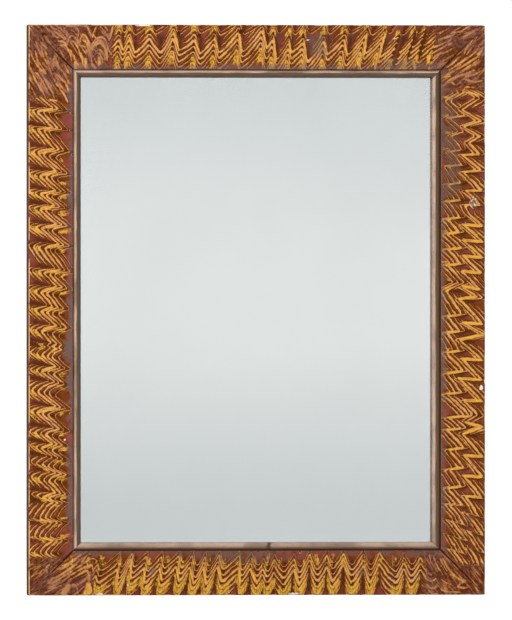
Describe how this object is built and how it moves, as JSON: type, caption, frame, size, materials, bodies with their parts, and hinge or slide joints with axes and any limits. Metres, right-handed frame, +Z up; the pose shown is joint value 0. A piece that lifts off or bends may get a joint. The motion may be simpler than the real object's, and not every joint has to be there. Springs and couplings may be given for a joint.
{
  "type": "framed wall mirror",
  "caption": "Wall looking glass in a flat mitred wooden frame with combed ochre and red-brown graining, applied quirked beads, pine backboards and swinging hanger rings.",
  "frame": {"origin": "middle of the frame's bottom edge, half way through its thickness", "axes": "+Z up the mirror, +X to the viewer's right, the mirror faces -Y and the wall is at +Y"},
  "size_m": [0.588, 0.0271, 0.726],
  "materials": {
    "grain_paint": "pine painted ochre under a combed red-brown glaze, old satin varnish, worn edges",
    "worn_gilt": "worn bronze-brown gilding, darkened in the quirk",
    "plate_glass": "clear old plate glass, very slightly green",
    "silvering": "old silvering, a little dulled",
    "old_pine": "bare pine, browned with age",
    "nail_iron": "dark oxidised cut nails",
    "hanger_brass": "tarnished brass",
    "screw_brass": "tarnished brass"
  },
  "bodies": {
    "frame": {"top_rail": "grain_paint", "bottom_rail": "grain_paint", "left_stile": "grain_paint", "right_stile": "grain_paint", "top_bead": "worn_gilt", "bottom_bead": "worn_gilt", "left_bead": "worn_gilt", "right_bead": "worn_gilt", "mirror_glass": "plate_glass", "silvering": "silvering", "backboard_upper": "old_pine", "backboard_middle": "old_pine", "backboard_lower": "old_pine", "corner_nails": "nail_iron", "backboard_nails": "nail_iron", "bead_brads": "nail_iron", "left_strap": "hanger_brass", "right_strap": "hanger_brass", "left_screws": "screw_brass", "right_screws": "screw_brass"},
    "left_ring": {"left_ring": "hanger_brass"},
    "right_ring": {"right_ring": "hanger_brass"}
  },
  "joints": [
    {"name": "left_ring_swing", "type": "hinge", "parent": "frame", "child": "left_ring", "pos_m": [-0.26575, 0.01376, 0.536], "axis": [1, 0, 0], "range_deg": [0, 180]},
    {"name": "right_ring_swing", "type": "hinge", "parent": "frame", "child": "right_ring", "pos_m": [0.26575, 0.01376, 0.536], "axis": [1, 0, 0], "range_deg": [0, 180]}
  ]
}
